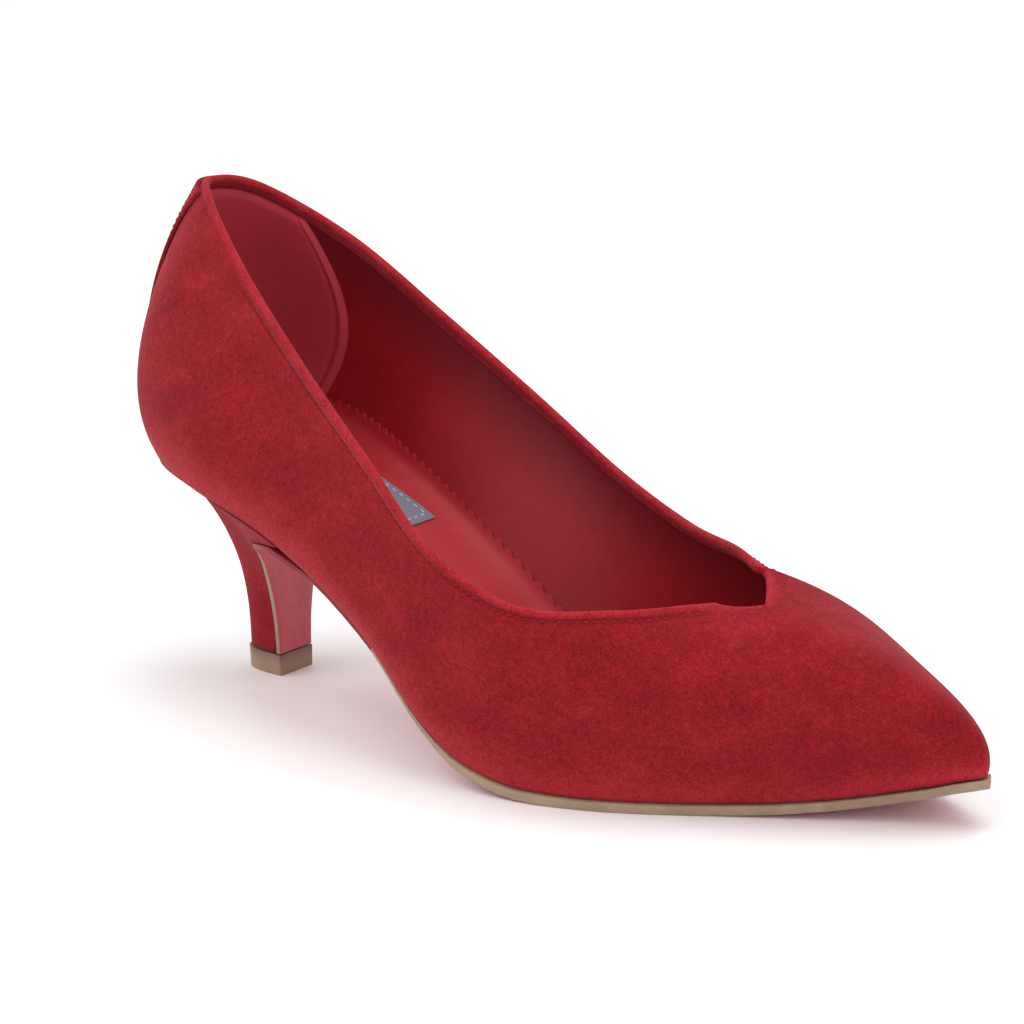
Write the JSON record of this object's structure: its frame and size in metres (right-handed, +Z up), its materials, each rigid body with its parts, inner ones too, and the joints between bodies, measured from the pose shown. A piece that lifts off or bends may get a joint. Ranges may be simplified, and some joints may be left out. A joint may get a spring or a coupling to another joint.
{
  "type": "kitten heel court shoe",
  "caption": "Low-cut court shoe with a pointed toe, a V throat, a slim kitten heel and a hollow suede upper on a thin leather sole.",
  "frame": {"origin": "middle of the bounding box, on the floor that the shoe stands on", "axes": "+X along the shoe to the toe, +Y to the inner side of the foot, +Z up"},
  "size_m": [0.2428, 0.0802, 0.1227],
  "materials": {
    "suede": "dyed suede with a short nap",
    "lining": "smooth lining leather",
    "sock_leather": "smooth padded leather with a pinked edge",
    "label_fabric": "plain woven patch, no print",
    "sole_leather": "pale cut edge under a rose painted face",
    "heel_suede": "dyed suede over the heel block",
    "lift_rubber": "matte tan"
  },
  "bodies": {
    "root": {"upper": "suede", "back_strip": "suede", "insole": "lining", "sock": "sock_leather", "sock_label": "label_fabric", "outsole": "sole_leather", "heel": "heel_suede", "top_lift": "lift_rubber"}
  },
  "joints": []
}
